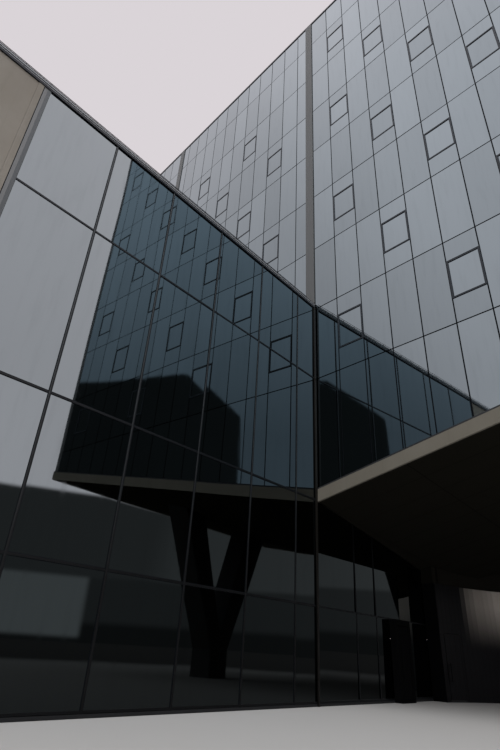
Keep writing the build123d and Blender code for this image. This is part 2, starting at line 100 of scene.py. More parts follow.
class Signal:
    """A shader socket that takes part in Python arithmetic."""

    def __init__(self, bench: "Bench", socket: bpy.types.NodeSocket) -> None:
        """Wrap a socket in a bench's tree."""
        self.bench = bench
        self.socket = socket

    __add__ = __radd__ = math_node("ADD")
    __mul__ = __rmul__ = math_node("MULTIPLY")
    __sub__ = math_node("SUBTRACT")
    __rsub__ = math_node("SUBTRACT", swapped=True)
    __truediv__ = math_node("DIVIDE")
    __rtruediv__ = math_node("DIVIDE", swapped=True)
    __pow__ = math_node("POWER")
    fraction = math_node("FRACT")
    size = math_node("ABSOLUTE")
    least = math_node("MINIMUM")
    most = math_node("MAXIMUM")
    bearing = math_node("ARCTAN2")

    def spread(self, low: float, high: float, to_low: float = 0.0, to_high: float = 1.0,
               smooth: bool = True) -> "Signal":
        """The value read from one range onto another, held at the ends.

        Args:
            low: the value that becomes to_low.
            high: the value that becomes to_high.
            to_low: where the new range starts.
            to_high: where the new range ends.
            smooth: whether the change eases in and out.

        Returns:
            The new value.
        """
        return self.bench.add(
            "ShaderNodeMapRange", {"interpolation_type": "SMOOTHSTEP" if smooth else "LINEAR"},
            {"Value": self, "From Min": low, "From Max": high, "To Min": to_low,
             "To Max": to_high})


Number = Union[float, int, Signal]


class Bench:
    """One node tree, and the one method that puts nodes into it."""

    def __init__(self, owner: Union[bpy.types.Material, bpy.types.World],
                 space: str = "Object") -> None:
        """Clear a tree and start from the point that is looked at.

        Args:
            owner: what the tree belongs to.
            space: "Object" for a point in metres, or "Generated" for a direction.
        """
        owner.use_nodes = True
        self.tree = owner.node_tree
        self.tree.nodes.clear()
        self.point = self.add("ShaderNodeTexCoord", output=space)

    def add(self, kind: str, settings: Optional[dict[str, Any]] = None,
            inputs: Optional[dict[Union[int, str], Any]] = None,
            output: Union[int, str] = 0) -> Optional[Signal]:
        """Make a node.

        Args:
            kind: the node's type.
            settings: its own settings, set first.
            inputs: values or signals for its sockets, by name or number.
            output: the socket that is handed back.

        Returns:
            The output as a signal, or nothing for a node that has none.
        """
        node = self.tree.nodes.new(kind)
        for name, value in (settings or {}).items():
            setattr(node, name, value)
        for name, value in (inputs or {}).items():
            socket = node.inputs[name]
            if isinstance(value, Signal):
                self.tree.links.new(value.socket, socket)
            elif isinstance(value, (tuple, list)) and len(value) < len(socket.default_value):
                socket.default_value = (*value, 1.0)
            else:
                socket.default_value = value
        return Signal(self, node.outputs[output]) if len(node.outputs) else None

    def axis(self, which: int, vector: Optional[Signal] = None) -> Signal:
        """One part of the point or of another vector: 0 for X, 1 for Y and 2 for Z."""
        return self.add("ShaderNodeSeparateXYZ", {}, {0: vector or self.point}, output=which)

    def noise(self, scale: float, detail: float = 3.0, roughness: float = 0.55,
              stretch: Optional[Colour] = None) -> Signal:
        """Soft noise from 0 to 1.

        Args:
            scale: its spots are about 1 / scale metres apart.
            detail: how many finer layers it has.
            roughness: how strong they are.
            stretch: each axis is scaled by this first, as for grain or streaks.

        Returns:
            The noise.
        """
        point = self.point if stretch is None else self.add(
            "ShaderNodeMapping", {}, {"Vector": self.point, "Scale": stretch})
        return self.add("ShaderNodeTexNoise", {}, {
            "Vector": point, "Scale": scale, "Detail": detail, "Roughness": roughness})

    def cells(self, scale: float) -> Signal:
        """The distance to the nearest of many scattered points."""
        return self.add("ShaderNodeTexVoronoi", {}, {"Vector": self.point, "Scale": scale})

    def blend(self, share: Number, first: Any, second: Any) -> Signal:
        """A colour between two colours."""
        return self.add("ShaderNodeMix", {"data_type": "RGBA", "clamp_factor": True},
                        {0: share, 6: first, 7: second}, output=2)

    def times(self, colour: Any, value: Number) -> Signal:
        """A colour made lighter or darker by a value."""
        return self.add("ShaderNodeVectorMath", {"operation": "SCALE"},
                        {0: colour, "Scale": value})

    def face_value(self, name: str) -> Signal:
        """A number that the piece's mesh holds for each face."""
        return self.add("ShaderNodeAttribute", {"attribute_name": name}, output="Fac")

    def bump(self, height: Signal, reach: float) -> Signal:
        """A normal from a height of 0 to 1 that stands for reach metres."""
        return self.add("ShaderNodeBump", {}, {"Height": height, "Distance": reach,
                                               "Strength": 1.0})


@dataclass(frozen=True)
class Finish:
    """What every finish has: a name, a colour and a way to make its material."""

    name: str
    colour: Colour
    metal: float = 0.0
    specular: float = 0.2

    def look(self, bench: Bench) -> Look:
        """What changes over the surface.

        Args:
            bench: the material's tree.

        Returns:
            Its colour, its roughness and its normal.
        """
        raise NotImplementedError

    def material(self) -> bpy.types.Material:
        """The material, made once and then found by its name."""
        found = bpy.data.materials.get(self.name)
        if found is not None:
            return found
        made = bpy.data.materials.new(self.name)
        bench = Bench(made)
        colour, roughness, normal = self.look(bench)
        shader = bench.add("ShaderNodeBsdfPrincipled", {}, {
            "Base Color": colour, "Roughness": roughness, "Normal": normal,
            "Metallic": self.metal, "Specular IOR Level": self.specular})
        bench.add("ShaderNodeOutputMaterial", {}, {"Surface": shader})
        made.diffuse_color = (*self.colour, 1.0)
        return made


@dataclass(frozen=True)
class CoatedGlass(Finish):
    """Reflecting glass: each pane has its own tone, with faint streaks and waves."""

    metal: float = 1.0
    specular: float = 0.5
    spread: float = 0.07
    wave: float = 0.0005
    wave_scale: float = 0.8
    polish: float = 0.02

    def look(self, bench: Bench) -> Look:
        """The pane's own tone, faint streaks and a slow wave."""
        tone = bench.face_value(Shape.TONE)
        streak = bench.noise(9.0, 4.0, stretch=(1.0, 1.0, 0.12))
        level = (1.0 - self.spread + 2 * self.spread * tone
                 - 0.05 * streak.spread(0.45, 0.75) + 0.03 * bench.noise(1.3, 2.0))
        return (bench.times(self.colour, level), self.polish + 0.03 * streak.spread(0.5, 0.8),
                bench.bump(bench.noise(self.wave_scale, 1.0, 0.4), self.wave))


@dataclass(frozen=True)
class Painted(Finish):
    """Satin paint on metal: grain, dust on what looks up, rain marks and painted shade below."""

    specular: float = 0.25
    sheen: float = 0.42
    dust: Colour = (0.25, 0.24, 0.22)
    dusty: float = 0.25
    marks: float = 0.18
    # foot: painted shade, the share of the colour left at 1.2 m and below, rising to all of it at
    # 5 m.
    foot: float = 1.0

    def look(self, bench: Bench) -> Look:
        """Paint that is dusty above, streaked by rain and darkened below by painted shade."""
        grain, patch = bench.noise(90.0, 2.0), bench.noise(1.7, 4.0)
        rain = bench.noise(2.0, 4.0, stretch=(6.0, 6.0, 0.35))
        facing = bench.axis(2, bench.add("ShaderNodeNewGeometry", output="Normal"))
        settled = facing.spread(0.2, 0.95) * patch.spread(0.3, 0.7) * self.dusty
        # Painted shade: darker towards the ground, down to foot times the colour.
        painted_low_shade = bench.axis(2).spread(1.2, 5.0, self.foot, 1.0, smooth=False)
        plain = bench.times(self.colour, (1.0 - self.marks * rain.spread(0.45, 0.75)
                                          + 0.5 * self.marks * patch) * painted_low_shade)
        return (bench.blend(settled * painted_low_shade, plain, self.dust),
                self.sheen + 0.12 * patch - 0.05 * rain + 0.2 * settled,
                bench.bump(grain, 0.0002))


@dataclass(frozen=True)
class Rendered(Finish):
    """Smooth pale cladding of a mineral kind: mottled, with fine grain and run marks."""

    mottle: float = 0.10
    runs: float = 0.12
    warm: Colour = (0.9, 0.86, 0.8)

    def look(self, bench: Bench) -> Look:
        """Clouds of two tones with grain, run marks and small pits."""
        cloud, grain = bench.noise(0.9, 5.0, 0.6), bench.noise(140.0)
        runs = bench.noise(2.2, 5.0, stretch=(4.0, 4.0, 0.16))
        pits = 1.0 - bench.cells(60.0).spread(0.02, 0.12)
        level = (1.0 - self.mottle * cloud.spread(0.3, 0.7) + 0.06 * grain
                 - self.runs * runs.spread(0.5, 0.8) - 0.08 * pits)
        darker = tuple(a * b for a, b in zip(self.colour, self.warm))
        return (bench.times(bench.blend(cloud, self.colour, darker), level),
                0.72 + 0.15 * grain, bench.bump(grain - 0.5 * pits, 0.0006))


@dataclass(frozen=True)
class Sheeted(Finish):
    """Dark metal sheet, brushed upright, with painted warm lamp light on its upper far part."""

    metal: float = 0.6
    specular: float = 0.1
    painted_lamp_wash: Colour = (0.42, 0.380, 0.335)
    polish: float = 0.34
    spread: float = 0.15
    scuffs: float = 0.3

    def look(self, bench: Bench) -> Look:
        """Brushed sheets, with painted light where the tone is high, and a scuffed foot."""
        tone, height = bench.face_value(Shape.TONE), bench.axis(2)
        brush = bench.noise(3.0, stretch=(60.0, 60.0, 1.2))
        cloud = bench.noise(1.6, 4.0, stretch=(1.0, 1.0, 0.4))
        worn = height.spread(0.5, 0.0) * cloud.spread(0.35, 0.7) * self.scuffs
        # Painted light: a warm lamp wash on the upper sheets where the tone is high.
        lit = (0.45 * tone.spread(0.20, 0.30) + 0.55 * tone.spread(0.28, 0.52, smooth=False)
               ) * height.spread(1.05, 2.20)
        # Painted reflection: the tone grows along the arc, so the sheets brighten along the wall;
        # its small random part is each sheet's own tone.
        level = (1.0 - self.spread + 2 * self.spread * tone) * (0.85 + 0.3 * brush) * (
            0.85 + 0.3 * cloud)
        return (bench.times(bench.blend(lit, self.colour, self.painted_lamp_wash), level * (1.0 - worn)),
                self.polish + 0.14 * cloud + 0.1 * brush + 0.2 * worn,
                bench.bump(brush + 2.0 * cloud, 0.0012))


@dataclass(frozen=True)
class Cast(Finish):
    """Dark coated concrete: board marks, small holes and a scuffed foot."""

    board: float = 0.11

    def look(self, bench: Bench) -> Look:
        """Cloudy concrete with holes, and seams between its boards."""
        cloud, grain, height = bench.noise(2.2, 5.0), bench.noise(70.0), bench.axis(2)
        holes = 1.0 - bench.cells(22.0).spread(0.03, 0.09)
        seam = ((height / self.board).fraction() - 0.5).size().spread(0.47, 0.5)
        scuff = height.spread(0.35, 0.0) * cloud.spread(0.4, 0.65)
        level = 0.85 + 0.35 * cloud + 0.5 * scuff - 0.25 * holes - 0.15 * seam
        return (bench.times(self.colour, level), 0.55 + 0.2 * cloud,
                bench.bump(grain * 0.4 - holes - 0.6 * seam, 0.0015))


@dataclass(frozen=True)
class Stones(Finish):
    """Loose gravel on a flat roof."""

    grain: float = 24.0

    def look(self, bench: Bench) -> Look:
        """Round stones, lighter and darker in patches."""
        stones, patch = bench.cells(self.grain), bench.noise(0.6, 4.0)
        level = (1.15 - stones.spread(0.1, 0.6)) * (0.75 + 0.5 * patch)
        return (bench.times(self.colour, level), 0.85 + 0.1 * patch,
                bench.bump(1.0 - stones, 0.008))


@dataclass(frozen=True)
class Seal(Finish):
    """Black rubber or silicone in a joint."""

    specular: float = 0.1

    def look(self, bench: Bench) -> Look:
        """Slightly uneven black."""
        grain = bench.noise(30.0)
        return (bench.times(self.colour, 0.7 + 0.6 * grain), 0.6 + 0.25 * grain,
                bench.bump(grain, 0.0004))


@dataclass(frozen=True)
class Panelled(Finish):
    """Matt dark sheets overhead, with fine seams along and across the tower."""

    specular: float = 0.0
    across: float = 0.675
    along: float = 2.025
    seam: float = 0.004
    polish: float = 0.6

    def look(self, bench: Bench) -> Look:
        """Cloudy sheets and the seams between them."""
        cloud = bench.noise(0.7, 4.0)
        lines = []
        for which, pitch in enumerate((self.across, self.along)):
            from_middle = ((bench.axis(which) / pitch).fraction() - 0.5).size()
            lines.append(from_middle.spread(0.5 - 2 * self.seam / pitch, 0.5 - self.seam / pitch))
        seams = lines[0].most(lines[1])
        return (bench.times(self.colour, 0.88 + 0.24 * cloud - 0.6 * seams),
                self.polish + 0.15 * cloud,
                bench.bump(0.2 * bench.noise(80.0, 2.0) - seams, 0.001))


class Finishes(Enum):
    """The building's finishes."""

    TOWER_GLASS = CoatedGlass("tower_coated_glass", (0.213, 0.250, 0.265))
    WING_GLASS = CoatedGlass("wing_coated_glass", (0.107, 0.120, 0.124), spread=0.03,
                             wave=0.0007, wave_scale=0.6)
    LOBBY_GLASS = CoatedGlass("lobby_coated_glass", (0.095, 0.108, 0.112), spread=0.05,
                              wave=0.0005)
    # A foot below 1 paints shade on the lower parts of the frames, the cap highlight and the
    # post.
    FRAME = Painted("dark_frame_paint", srgb(22, 24, 27), specular=0.2, foot=0.3)
    # Painted highlight: the lit side of each mullion cap, fading almost to black near the ground.
    CAP_HIGHLIGHT = Painted("cap_highlight_paint", srgb(62, 65, 67), foot=0.06)
    # Painted highlight: light lines along the lit lips of the wing's coping.
    COPING_HIGHLIGHT = Painted("coping_highlight_paint", srgb(168, 170, 174))
    WING_COPING = Painted("dark_coping_paint", srgb(20, 22, 27), specular=0.15)
    POST = Painted("brown_post_paint", srgb(34, 32, 29), sheen=0.4, specular=0.2,
                   foot=0.3)
    # Painted shade: a darker copy of the frame paint for the frames under the overhangs.
    SHADED_LOBBY_FRAME = Painted("lobby_frame_painted_shade", srgb(16, 18, 20), specular=0.1)
    PORTAL = Painted("black_portal_paint", srgb(13, 13, 14), dusty=0.02, specular=0.0)
    # Painted shade: the bulkhead over the core wall is made near black to read as the shaded
    # soffit.
    BULKHEAD = Panelled("dark_bulkhead_sheets", srgb(26, 25, 22))
    WINDOW = Painted("window_frame_paint", srgb(34, 40, 46), sheen=0.38)
    STRIP = Painted("grey_strip_paint", srgb(98, 99, 99), sheen=0.36, metal=0.2)
    COVER = Painted("edge_cover_paint", srgb(78, 81, 83), sheen=0.4)
    FIN = Painted("grey_fin_paint", srgb(91, 93, 94), sheen=0.5, marks=0.1)
    COPING = Painted("coping_paint", srgb(48, 49, 51), sheen=0.4)
    WALL = Rendered("beige_wall_cladding", srgb(150, 145, 139))
    FASCIA = Rendered("fascia_cladding", srgb(121, 118, 110), mottle=0.06, runs=0.06)
    # Partly painted shade: the sheets' own dark colour, darkened further for the deep shade under
    # the overhang.
    SOFFIT = Panelled("soffit_sheets", srgb(31, 30, 26))
    COLUMN = Cast("coated_concrete", srgb(34, 34, 34))
    CORE = Sheeted("core_metal_sheets", srgb(18, 18, 20))
    CONCRETE = Rendered("plain_concrete", srgb(120, 120, 118))
    SLAB = Rendered("dark_slab", srgb(36, 37, 39))
    ROOF = Stones("roof_gravel", srgb(125, 122, 116))
    SEAL = Seal("joint_seal", srgb(19, 22, 26))


def link(name: str, data: bpy.types.ID) -> bpy.types.Object:
    """A new object at the origin, linked into the scene.

    Args:
        name: its name.
        data: its mesh, light or camera.

    Returns:
        The object.
    """
    made = bpy.data.objects.new(name, data)
    bpy.context.scene.collection.objects.link(made)
    return made


class Shape:
    """A mesh in the making, in metres."""

    TONE = "pane_tone"

    def __init__(self) -> None:
        """Start with no faces, and a tone for each that comes."""
        self.mesh = bmesh.new()
        self.tone = self.mesh.faces.layers.float.new(self.TONE)

    def bar(self, low: Sequence[float], high: Sequence[float],
            turn: Optional[Matrix] = None) -> list[bmesh.types.BMVert]:
        """An upright box between two corners.

        Args:
            low: its lowest corner.
            high: its highest corner.
            turn: a rotation about the box's middle.

        Returns:
            Its corners.
        """
        low, high = Vector(low), Vector(high)
        place = Matrix.Translation((low + high) / 2)
        if turn is not None:
            place = place @ turn
        place = place @ Matrix.Diagonal((*(high - low), 1.0))
        return bmesh.ops.create_cube(self.mesh, size=1.0, matrix=place)["verts"]

    @staticmethod
    def faces_of(verts: Iterable[bmesh.types.BMVert]) -> list[bmesh.types.BMFace]:
        """The faces that meet at some corners."""
        return list({face for vert in verts for face in vert.link_faces})

    def toned(self, verts: Iterable[bmesh.types.BMVert], value: float) -> None:
        """Give the faces at some corners a tone from 0 to 1."""
        for face in self.faces_of(verts):
            face[self.tone] = value

    def ease(self, width: float) -> None:
        """Bevel every edge."""
        bmesh.ops.bevel(self.mesh, geom=list(self.mesh.edges), offset=width,
                        offset_type="OFFSET", segments=1, profile=0.5,
                        affect="EDGES", material=-1, clamp_overlap=True)

    def cut(self, point: Sequence[float], normal: Sequence[float]) -> None:
        """Cut away what lies behind a plane and close the shape there.

        Args:
            point: a point of the plane.
            normal: the way out of it, to the side that stays.
        """
        made = bmesh.ops.bisect_plane(
            self.mesh, geom=[*self.mesh.verts, *self.mesh.edges, *self.mesh.faces], dist=1e-6,
            plane_co=Vector(point), plane_no=Vector(normal).normalized(), clear_inner=True)
        edges = [item for item in made["geom_cut"]
                 if isinstance(item, bmesh.types.BMEdge) and item.is_valid]
        bmesh.ops.holes_fill(self.mesh, edges=edges, sides=0)

    def move(self, matrix: Matrix,
             verts: Optional[Iterable[bmesh.types.BMVert]] = None) -> None:
        """Place some corners, or the whole shape, by a matrix."""
        bmesh.ops.transform(self.mesh, matrix=matrix, verts=list(verts or self.mesh.verts))

    def piece(self, name: str, finish: Finishes, slot: str, body: str = BUILDING,
              stands_for: Sequence[str] = (), smooth: float = 0.0,
              front: Optional["Front"] = None) -> None:
        """Finish the mesh and hand it over as a piece of the building.

        Args:
            name: the piece's name.
            finish: its finish.
            slot: the record's material slot; not used.
            body: the CAD body that it moves with.
            stands_for: CAD nodes that it replaces.
            smooth: edges flatter than this angle are shaded smooth, in radians.
            front: the front in whose frame it was made, if it was made in one.
        """
        if front is not None:
            self.move(front.matrix)
        bmesh.ops.recalc_face_normals(self.mesh, faces=list(self.mesh.faces))
        if smooth:
            for face in self.mesh.faces:
                face.smooth = True
            for edge in self.mesh.edges:
                edge.smooth = edge.calc_face_angle(math.pi) < smooth
        data = bpy.data.meshes.new(name)
        self.mesh.to_mesh(data)
        self.mesh.free()
        data.materials.append(finish.value.material())
        made = link(name, data)
        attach(made, body)
        if stands_for:
            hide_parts(*stands_for)
        log.info("%s: %d faces", name, len(data.polygons))


@dataclass(frozen=True)
class Front:
    """A flat front: x runs along it from the ground, y goes into the building, z is up.

    Its name begins its pieces' names, and its seed gives its panes their tones and leans.
    """

    name: str
    start: tuple[float, float]
    along: tuple[float, float]
    seed: int
    mirrored: bool = False

    @property
    def inward(self) -> Vector:
        """The way into the building."""
        return UP.cross(Vector((*self.along, 0.0)))

    @property
    def matrix(self) -> Matrix:
        """From the front's own frame to the model's."""
        rows = Matrix((Vector((*self.along, 0.0)), self.inward, UP)).transposed().to_4x4()
        return Matrix.Translation((*self.start, 0.0)) @ rows

    def own(self, panes: list["Pane"]) -> list["Pane"]:
        """The panes as they run on it, which is the other way where it is mirrored."""
        if not self.mirrored:
            return panes
        return [Pane(-p.right, -p.left, p.foot, p.head, p.opens) for p in panes]


@dataclass(frozen=True)
class Pane:
    """One pane: its two sides, its foot and its head on its front."""

    left: float
    right: float
    foot: float
    head: float
    opens: bool = False


@dataclass
class Glazing:
    """Panes on one front, each a thin sheet of its own with its own lean and bulge.

    Its seed is added to the front's.
    """

    front: Front
    seed: int = 0
    joint: float = 0.026
    thickness: float = 0.012
    lean: float = 0.0016
    bulge: float = 0.0
    grid: int = 1
    back_lean: float = 0.0
    setback: float = 0.0005

    def build(self, panes: Sequence[Pane], cuts: Sequence[tuple] = ()) -> Shape:
        """Make the panes.

        Args:
            panes: the panes, edge to edge, before their joints are taken off.
            cuts: points and normals of planes that cut them, in the front's frame.

        Returns:
            The shape, in the model's frame.
        """
        draw = random.Random(self.front.seed + self.seed)
        shape = Shape()
        gap = self.joint / 2
        for pane in panes:
            low = Vector((pane.left + gap, self.setback, pane.foot + gap))
            high = Vector((pane.right - gap, self.setback + self.thickness, pane.head - gap))
            lean = (Matrix.Rotation(self.back_lean + draw.uniform(-self.lean, self.lean), 4, "X")
                    @ Matrix.Rotation(draw.uniform(-self.lean, self.lean), 4, "Z"))
            swell = draw.uniform(-1, 1) * self.bulge
            tone = draw.random()
            if self.grid > 1:
                verts = self.bent(shape, low, high, lean, swell)
            else:
                verts = shape.bar(low, high, lean)
            shape.toned(verts, tone)
        for point, normal in cuts:
            shape.cut(point, normal)
        shape.move(self.front.matrix)
        return shape

    def bent(self, shape: Shape, low: Vector, high: Vector, lean: Matrix,
             swell: float) -> list[bmesh.types.BMVert]:
        """A pane divided into a grid and bent out or in, as sealed double glass is.

        Args:
            shape: the mesh that it goes into.
            low: its lowest corner.
            high: its highest corner.
            lean: its turn about its middle.
            swell: how far its middle stands in from its edges.

        Returns:
            Its corners.
        """
        size = high - low
        middle = Vector(((low.x + high.x) / 2, low.y, (low.z + high.z) / 2))
        place = (Matrix.Translation(middle) @ lean @ Matrix.Rotation(math.pi / 2, 4, "X")
                 @ Matrix.Diagonal((size.x, size.z, 1.0, 1.0)))
        front = bmesh.ops.create_grid(shape.mesh, x_segments=self.grid, y_segments=self.grid,
                                      size=0.5, matrix=place)["verts"]
        made = bmesh.ops.extrude_face_region(shape.mesh, geom=shape.faces_of(front))
        back = [item for item in made["geom"] if isinstance(item, bmesh.types.BMVert)]
        bmesh.ops.translate(shape.mesh, verts=back, vec=(0.0, self.thickness, 0.0))
        for vert in (*front, *back):
            u = 2 * (vert.co.x - low.x) / size.x - 1
            z = 2 * (vert.co.z - low.z) / size.z - 1
            vert.co.y += swell * max(0.0, 1 - u * u) * max(0.0, 1 - z * z)
        return [*front, *back]


@dataclass
class Tower:
    """The glazed slab: panes, joint beds, opening windows and corner strips."""

    module: float = 0.675
    storey: float = 1.99
    storeys: int = 8
    first_line: float = 6.305
    top: float = 21.6047
    width: float = 12.15
    overhang_modules: int = 15
    wing_modules: int = 12
    width_modules: int = 18
    edge_low: float = 3.485
    edge_high: float = 5.397
    valley_low: float = 2.640
    fascia: float = 0.258
    low_overlap: float = 0.05
    low_gap: float = 0.012
    end_gap: float = 0.002
    window_sill: float = 0.560
    window_head: float = 1.483
    frame_width: float = 0.040
    frame_proud: float = 0.009
    frame_deep: float = 0.02
    frame_ease: float = 0.003
    window_joint: float = 0.008
    window_setback: float = 0.006
    window_glass: float = 0.01
    bed_depth: float = 0.016
    corner_gain: float = 0.009
    strip_width: float = 0.175
    strip_proud: float = 0.005
    strip_deep: float = 0.004
    strip_ease: float = 0.001
    east_rows: tuple[float, ...] = (0.0403, 1.542, 3.5, 6.305)
    east_post: float = 0.04
    east_inset: float = 0.09
    east_bays: int = 6
    low_seed: int = 7
    window_seed: int = 3
    east_seed: int = 68

    @property
    def overhang(self) -> float:
        """How far the tower reaches past the wing at each end."""
        return self.overhang_modules * self.module

    @property
    def wing_depth(self) -> float:
        """The wing's depth along the tower."""
        return self.wing_modules * self.module

    @property
    def edge_rise(self) -> float:
        """How much the overhang's lower edge rises over its length."""
        return self.edge_high - self.edge_low

    def soffit(self, along: float) -> float:
        """The soffit's height over the wing's south front.

        Args:
            along: the distance from the wing's corner.

        Returns:
            The height.
        """
        x, y = along * math.cos(SKEW), along * math.sin(SKEW)
        edge = self.edge_low - self.edge_rise / self.overhang * y
        valley = self.valley_low - (self.edge_high - self.valley_low) / self.overhang * y
        share = 1 - abs(2 * x / self.width - 1)
        return edge + (valley - edge) * share

    def opens(self, column: int, row: int) -> bool:
        """Whether the module is one of those with an opening window."""
        rows = self.storeys - 1 - (column < 0)
        return column % 2 == 1 and ((column - 1) // 2 + row) % 2 == 0 and row < rows

    def storey_panes(self, left: float, right: float, row: int, window: bool) -> list[Pane]:
        """The panes of one module in one storey.

        Args:
            left: the module's left side.
            right: its right side.
            row: the storey, from 0 at the first line.
            window: whether one of the panes opens.

        Returns:
            The panes, from the lowest up.
        """
        foot = self.first_line + row * self.storey
        head = self.top if row == self.storeys - 1 else foot + self.storey
        if not window:
            return [Pane(left, right, foot, head)]
        sill, lintel = foot + self.window_sill, foot + self.window_head
        return [Pane(left, right, foot, sill), Pane(left, right, sill, lintel, True),
                Pane(left, right, lintel, head)]

    def long_panes(self, through_wing: bool) -> list[Pane]:
        """The panes above the first line on a long front, whose x is 0 at the wing's corner.

        Args:
            through_wing: whether the wing stands before the first storey.

        Returns:
            The panes, with x rising to the south.
        """
        panes = []
        north = -self.wing_modules
        for column in range(north - self.overhang_modules, self.overhang_modules):
            left, right = column * self.module, (column + 1) * self.module
            for row in range(self.storeys):
                if through_wing and row == 0 and north <= column < 0:
                    continue
                near = left - self.corner_gain if through_wing and row == column == 0 else left
                window = self.opens(column, row) and column not in (-1, north)
                panes += self.storey_panes(near, right, row, window)
        return panes

    def low_panes(self, south: bool) -> list[Pane]:
        """The panes between the fascia and the first line on one overhang.

        Args:
            south: whether it is the south one.

        Returns:
            The panes, whose feet still have to be cut to the fascia's slope.
        """
        corner, sign = (0.0, 1) if south else (-self.wing_depth, -1)
        panes = []
        for count in range(self.overhang_modules):
            near = corner + sign * count * self.module
            far = near + sign * self.module
            foot = (self.edge_low + self.fascia
                    + self.edge_rise / self.overhang * count * self.module - self.low_overlap)
            gain = self.corner_gain if south and count == 0 else 0.0
            panes.append(Pane(min(near, far) - gain, max(near, far), foot, self.first_line))
        return panes

    def glaze(self, front: Front, panes: Sequence[Pane]) -> None:
        """Build fixed panes and opening windows.

        Args:
            front: the tower's front.
            panes: its panes of both kinds.
        """
        fixed = [pane for pane in panes if not pane.opens]
        Glazing(front).build(fixed).piece(
            f"{front.name}_panes", Finishes.TOWER_GLASS, "glass",
            stands_for=[f"{front.name}_glass"])
        self.windows(front, [pane for pane in panes if pane.opens])

    def long_front(self, front: Front) -> None:
        """Dress a long front, on which x runs to the south, or if mirrored to the north.

        Args:
            front: the west or the east front.
        """
        self.glaze(front, front.own(self.long_panes(through_wing=not front.mirrored)))
        level = self.edge_low + self.fascia + self.low_gap
        flip = -1 if front.mirrored else 1
        for side, corner, sign in (("south", 0.0, 1), ("north", -self.wing_depth, -1)):
            cut = ((flip * corner, 0.0, level),
                   (-flip * sign * self.edge_rise / self.overhang, 0.0, 1.0))
            Glazing(front, self.low_seed).build(
                front.own(self.low_panes(side == "south")), [cut]).piece(
                f"{front.name}_{side}_low_panes", Finishes.TOWER_GLASS, "glass")
        strips = Shape()
        foot = self.edge_high + self.fascia + self.strip_proud
        for end, inward in ((self.overhang, -1), (-self.wing_depth - self.overhang, 1)):
            low, high = sorted((flip * end, flip * (end + inward * self.strip_width)))
            strips.bar((low, -self.strip_proud, foot),
                       (high, self.strip_deep, self.top - self.strip_ease))
        strips.ease(self.strip_ease)
        strips.piece(f"{front.name}_corner_strips", Finishes.FIN, "fin", front=front)

    def windows(self, front: Front, panes: Sequence[Pane]) -> None:
        """The opening windows of a front: a dark frame round a pane that lies deeper.

        Args:
            front: the tower's front.
            panes: what the windows take up.
        """
        frames = Shape()
        wide, proud, deep = self.frame_width, self.frame_proud, self.frame_deep
        inner = []
        for pane in panes:
            left, right, foot, head = pane.left, pane.right, pane.foot, pane.head
            hole = Pane(left + wide, right - wide, foot + wide, head - wide)
            for start, end in ((left, hole.left), (hole.right, right)):
                frames.bar((start, -proud, foot), (end, deep, head))
            for low, high in ((foot, hole.foot), (hole.head, head)):
                frames.bar((hole.left, -proud, low), (hole.right, deep, high))
            inner.append(hole)
        frames.ease(self.frame_ease)
        frames.piece(f"{front.name}_window_frames", Finishes.WINDOW, "dark_metal", front=front)
        Glazing(front, self.window_seed, joint=self.window_joint,
                setback=self.window_setback, thickness=self.window_glass).build(inner).piece(
            f"{front.name}_window_panes", Finishes.TOWER_GLASS, "glass")

    def end_front(self, front: Front) -> None:
        """Dress a short front, whose x is 0 at its left corner.

        Args:
            front: the south or the north front.
        """
        panes = []
        low = self.edge_high + self.fascia + self.end_gap
        for column in range(self.width_modules):
            left, right = column * self.module, (column + 1) * self.module
            panes.append(Pane(left, right, low, self.first_line))
            for row in range(self.storeys):
                panes += self.storey_panes(left, right, row, self.opens(column, row))
        self.glaze(front, panes)

    def joint_bed(self, front: Front) -> None:
        """The dark bed behind the panes' joints, from the CAD sheet set back by its depth.

        Args:
            front: the tower's front.
        """
        bed, inward = Shape(), front.inward
        bed.mesh.from_mesh(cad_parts[f"{front.name}_glass"].data)
        bmesh.ops.remove_doubles(bed.mesh, verts=list(bed.mesh.verts), dist=1e-5)
        outer = min(vert.co.dot(inward) for vert in bed.mesh.verts)
        face = [vert for vert in bed.mesh.verts if vert.co.dot(inward) - outer < 1e-4]
        bmesh.ops.translate(bed.mesh, verts=face, vec=inward * self.bed_depth)
        bed.piece(f"{front.name}_joint_bed", Finishes.SEAL, "dark_metal")

    def wing_end(self, front: Front) -> None:
        """The wing's east end, which stands in the plane of the tower's east front.

        Args:
            front: the tower's east front.
        """
        start = self.width * math.tan(SKEW) + self.east_post / math.cos(SKEW) + self.end_gap
        pitch = (self.wing_depth - self.east_inset) / self.east_bays
        panes = [Pane(start + step * pitch, start + (step + 1) * pitch, foot, head)
                 for step in range(self.east_bays)
                 for foot, head in zip(self.east_rows, self.east_rows[1:])]
        Glazing(front, self.east_seed).build(panes).piece(
            "wing_east_panes", Finishes.WING_GLASS, "wing_glass")

    def build(self) -> None:
        """Dress the four fronts."""
        north_end = self.wing_depth + self.overhang
        west = Front("tower_west", (0.0, 0.0), (0.0, -1.0), 11)
        east = Front("tower_east", (self.width, 0.0), (0.0, 1.0), 23, mirrored=True)
        south = Front("tower_south", (0.0, -self.overhang), (1.0, 0.0), 31)
        north = Front("tower_north", (self.width, north_end), (-1.0, 0.0), 37)
        for front in (west, east):
            self.long_front(front)
        for front in (south, north):
            self.end_front(front)
        for front in (west, east, south, north):
            self.joint_bed(front)
        self.wing_end(east)


